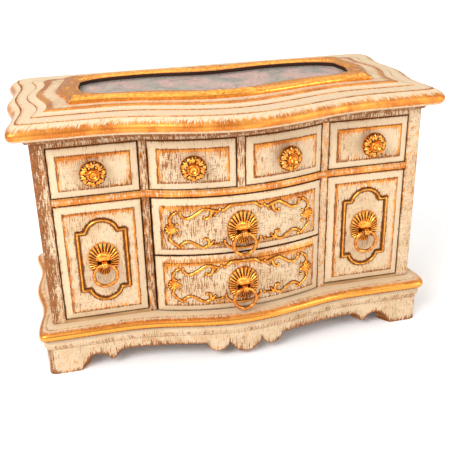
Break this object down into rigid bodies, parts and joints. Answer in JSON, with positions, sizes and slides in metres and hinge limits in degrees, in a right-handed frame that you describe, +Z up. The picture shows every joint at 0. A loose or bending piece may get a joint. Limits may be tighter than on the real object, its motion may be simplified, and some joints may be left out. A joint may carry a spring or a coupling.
{
  "type": "jewellery chest with drawers",
  "caption": "Small bow-fronted jewellery chest in distressed cream paint with gilt mouldings, drawers, side doors, ring pulls and a hinged lid with a glazed panel.",
  "frame": {"origin": "middle of the bounding box at the height of the feet", "axes": "+X to the chest's right as seen from the front, +Y to the back, +Z up; the front faces -Y"},
  "size_m": [0.3556, 0.1864, 0.228],
  "materials": {
    "cream_paint": "cream paint rubbed through to brown and gold",
    "cream_and_gold_paint": "cream paint with worn gold bands",
    "bare_wood": "plain sealed wood",
    "gilt_frame": "antique gilt, worn on the edges",
    "antique_gold": "cast relief with dark recesses",
    "hinge_brass": "plain",
    "velvet": "short pile",
    "window_glass": "clear",
    "mirror_glass": "silvered",
    "printed_panel": "matte print of soft blossoms"
  },
  "bodies": {
    "case": {"front_apron": "cream_paint", "left_apron": "cream_paint", "right_apron": "cream_paint", "back_apron": "cream_paint", "plinth_moulding": "cream_and_gold_paint", "base_board": "cream_paint", "left_side": "cream_paint", "right_side": "cream_paint", "left_stile": "cream_paint", "right_stile": "cream_paint", "left_partition": "cream_paint", "right_partition": "cream_paint", "mid_rail": "cream_and_gold_paint", "drawer_shelf": "bare_wood", "top_rail": "cream_paint", "upper_dividers": "cream_paint", "back_panel": "cream_paint", "upper_tray": "velvet", "ring_rolls": "velvet", "hook_rails": "hinge_brass", "drawer_runners": "bare_wood", "door_pivots": "hinge_brass", "case_hinge_leaves": "hinge_brass"},
    "lid": {"lid_moulding": "cream_paint", "lid_step": "cream_paint", "gilt_frame": "gilt_frame", "window_glass": "window_glass", "print_panel": "printed_panel", "lid_mirror": "mirror_glass", "lid_hinge_leaves": "hinge_brass"},
    "drawer_1": {"drawer_1_front": "cream_paint", "drawer_1_box": "bare_wood", "drawer_1_knob": "antique_gold"},
    "drawer_2": {"drawer_2_front": "cream_paint", "drawer_2_box": "bare_wood", "drawer_2_knob": "antique_gold"},
    "drawer_3": {"drawer_3_front": "cream_paint", "drawer_3_box": "bare_wood", "drawer_3_knob": "antique_gold"},
    "drawer_4": {"drawer_4_front": "cream_paint", "drawer_4_box": "bare_wood", "drawer_4_knob": "antique_gold"},
    "drawer_5": {"drawer_5_front": "cream_paint", "drawer_5_box": "bare_wood", "drawer_5_scrollwork": "antique_gold", "drawer_5_plate": "antique_gold"},
    "drawer_6": {"drawer_6_front": "cream_paint", "drawer_6_box": "bare_wood", "drawer_6_scrollwork": "antique_gold", "drawer_6_plate": "antique_gold"},
    "left_door": {"left_door_panel": "cream_paint", "left_door_frame": "antique_gold", "left_door_plate": "antique_gold"},
    "right_door": {"right_door_panel": "cream_paint", "right_door_frame": "antique_gold", "right_door_plate": "antique_gold"},
    "upper_ring_pull": {"drawer_5_ring": "antique_gold"},
    "lower_ring_pull": {"drawer_6_ring": "antique_gold"},
    "left_ring_pull": {"left_door_ring": "antique_gold"},
    "right_ring_pull": {"right_door_ring": "antique_gold"}
  },
  "joints": [
    {"name": "lid_hinge", "type": "hinge", "parent": "case", "child": "lid", "pos_m": [0, 0.0914, 0.2022], "axis": [-1, 0, 0], "range_deg": [0, 100]},
    {"name": "drawer_1_slide", "type": "slide", "parent": "case", "child": "drawer_1", "axis": [0, -1, 0], "range_m": [0, 0.09]},
    {"name": "drawer_2_slide", "type": "slide", "parent": "case", "child": "drawer_2", "axis": [0, -1, 0], "range_m": [0, 0.09]},
    {"name": "drawer_3_slide", "type": "slide", "parent": "case", "child": "drawer_3", "axis": [0, -1, 0], "range_m": [0, 0.09]},
    {"name": "drawer_4_slide", "type": "slide", "parent": "case", "child": "drawer_4", "axis": [0, -1, 0], "range_m": [0, 0.09]},
    {"name": "drawer_5_slide", "type": "slide", "parent": "case", "child": "drawer_5", "axis": [0, -1, 0], "range_m": [0, 0.1]},
    {"name": "drawer_6_slide", "type": "slide", "parent": "case", "child": "drawer_6", "axis": [0, -1, 0], "range_m": [0, 0.1]},
    {"name": "left_door_hinge", "type": "hinge", "parent": "case", "child": "left_door", "pos_m": [-0.1466, -0.0549, 0.097], "axis": [0, 0, -1], "range_deg": [0, 95]},
    {"name": "right_door_hinge", "type": "hinge", "parent": "case", "child": "right_door", "pos_m": [0.1466, -0.0549, 0.097], "axis": [0, 0, 1], "range_deg": [0, 95]},
    {"name": "upper_ring_swing", "type": "hinge", "parent": "drawer_5", "child": "upper_ring_pull", "pos_m": [0, -0.0797, 0.1165], "axis": [-1, 0, 0], "range_deg": [0, 90]},
    {"name": "lower_ring_swing", "type": "hinge", "parent": "drawer_6", "child": "lower_ring_pull", "pos_m": [0, -0.0797, 0.065], "axis": [-1, 0, 0], "range_deg": [0, 90]},
    {"name": "left_ring_swing", "type": "hinge", "parent": "left_door", "child": "left_ring_pull", "pos_m": [-0.1144, -0.0647, 0.0965], "axis": [-1, 0, 0], "range_deg": [0, 90]},
    {"name": "right_ring_swing", "type": "hinge", "parent": "right_door", "child": "right_ring_pull", "pos_m": [0.1144, -0.0647, 0.0965], "axis": [-1, 0, 0], "range_deg": [0, 90]}
  ]
}
